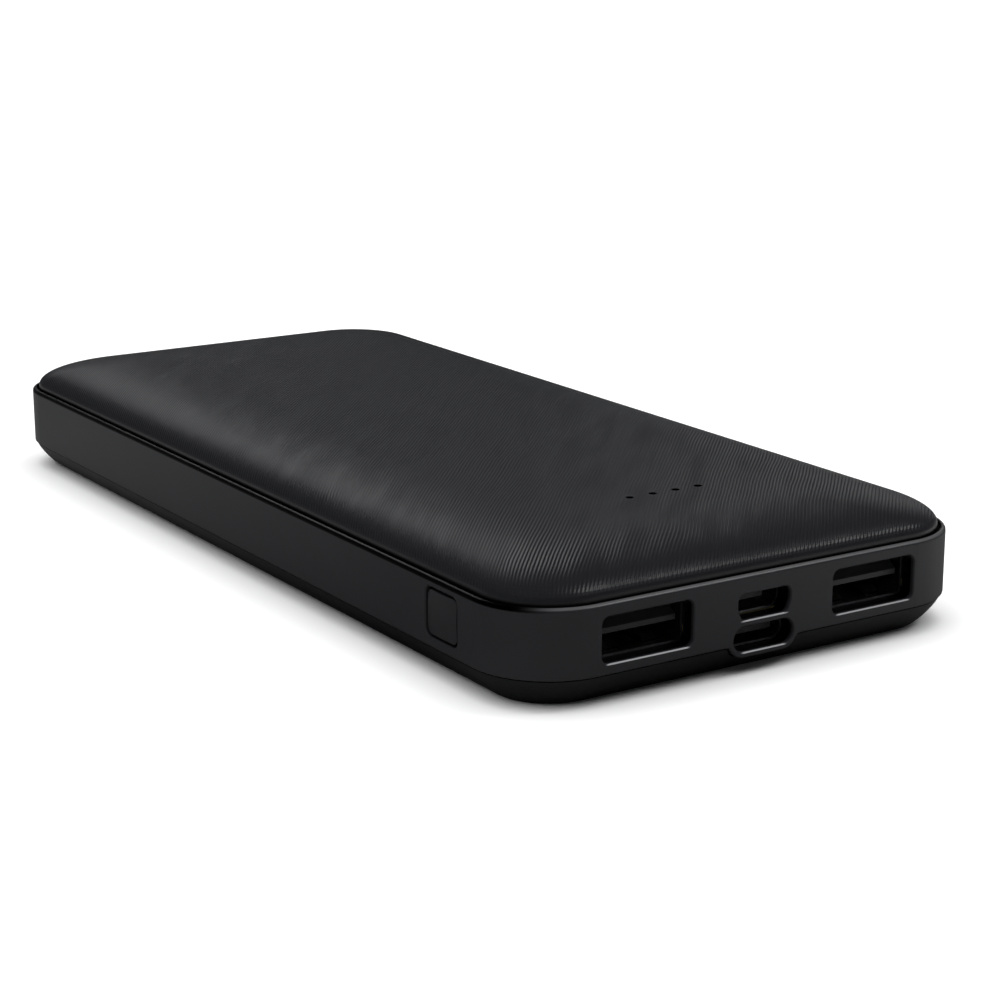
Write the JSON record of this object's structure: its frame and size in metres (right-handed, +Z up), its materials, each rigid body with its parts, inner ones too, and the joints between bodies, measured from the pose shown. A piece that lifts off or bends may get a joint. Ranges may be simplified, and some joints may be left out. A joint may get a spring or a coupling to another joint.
{
  "type": "power bank",
  "caption": "Slim rechargeable power bank: domed textured top cover, frame with USB-A, USB-C and micro-USB sockets, side power key that travels, pouch cells and board inside.",
  "frame": {"origin": "centre of the footprint, on the surface that the case stands on", "axes": "+Z up through the domed cover, +Y along the case from the socket end to the plain end, +X across it; the sockets are at -Y and the key at -X"},
  "size_m": [0.07, 0.152, 0.0172],
  "materials": {
    "cover_plastic": "black ABS with a fine engraved wave texture",
    "base_plastic": "black ABS, satin",
    "frame_plastic": "black ABS, fine spark-eroded grain",
    "key_plastic": "black ABS, satin",
    "black_moulding": "glass-filled nylon",
    "white_moulding": "acetal",
    "plated_steel": "nickel-plated steel sheet",
    "gold_contact": "gold flash on copper alloy",
    "board_laminate": "green solder mask on glass epoxy",
    "screw_steel": "zinc-plated steel",
    "clear_plastic": "clear acrylic",
    "led_body": "ceramic body with a clear lens",
    "chip_epoxy": "moulded epoxy",
    "ferrite": "pressed ferrite",
    "ceramic": "fired ceramic with tinned ends",
    "pouch_foil": "aluminium-laminate pouch",
    "tape": "double-sided tape",
    "foam": "closed-cell foam",
    "nickel": "pure nickel strip"
  },
  "bodies": {
    "case": {"top_cover": "cover_plastic", "bottom_cover": "base_plastic", "mid_frame": "frame_plastic", "switch_housing": "black_moulding", "switch_plate": "plated_steel", "usb_a_shell_left": "plated_steel", "usb_a_shell_right": "plated_steel", "usb_c_shell": "plated_steel", "micro_usb_shell": "plated_steel", "usb_a_core_left": "black_moulding", "usb_a_core_right": "black_moulding", "usb_c_core": "black_moulding", "micro_usb_core": "black_moulding", "usb_a_contacts_left": "gold_contact", "usb_a_contacts_right": "gold_contact", "usb_c_contacts": "gold_contact", "micro_usb_contacts": "gold_contact", "circuit_board": "board_laminate", "board_screws": "screw_steel", "light_guide": "clear_plastic", "indicator_leds": "led_body", "controller_chip": "chip_epoxy", "power_inductor": "ferrite", "power_transistors": "chip_epoxy", "ceramic_capacitors": "ceramic", "chip_resistors": "chip_epoxy", "lower_cell": "pouch_foil", "upper_cell": "pouch_foil", "floor_adhesive": "tape", "cell_tape": "tape", "top_foam": "foam", "rear_foam": "foam", "negative_tabs": "nickel", "positive_tabs": "nickel", "negative_strap": "nickel", "positive_strap": "nickel"},
    "power_key": {"power_button": "key_plastic"},
    "plunger": {"switch_plunger": "white_moulding"}
  },
  "joints": [
    {"name": "key_press", "type": "slide", "parent": "case", "child": "power_key", "axis": [1, 0, 0], "range_m": [0, 0.0003], "stiffness_N_per_m": 3000},
    {"name": "plunger_travel", "type": "slide", "parent": "case", "child": "plunger", "axis": [1, 0, 0], "range_m": [0, 0.0003]}
  ],
  "couplings": [
    {"joint": "plunger_travel", "follows": "key_press", "ratio": 1}
  ]
}
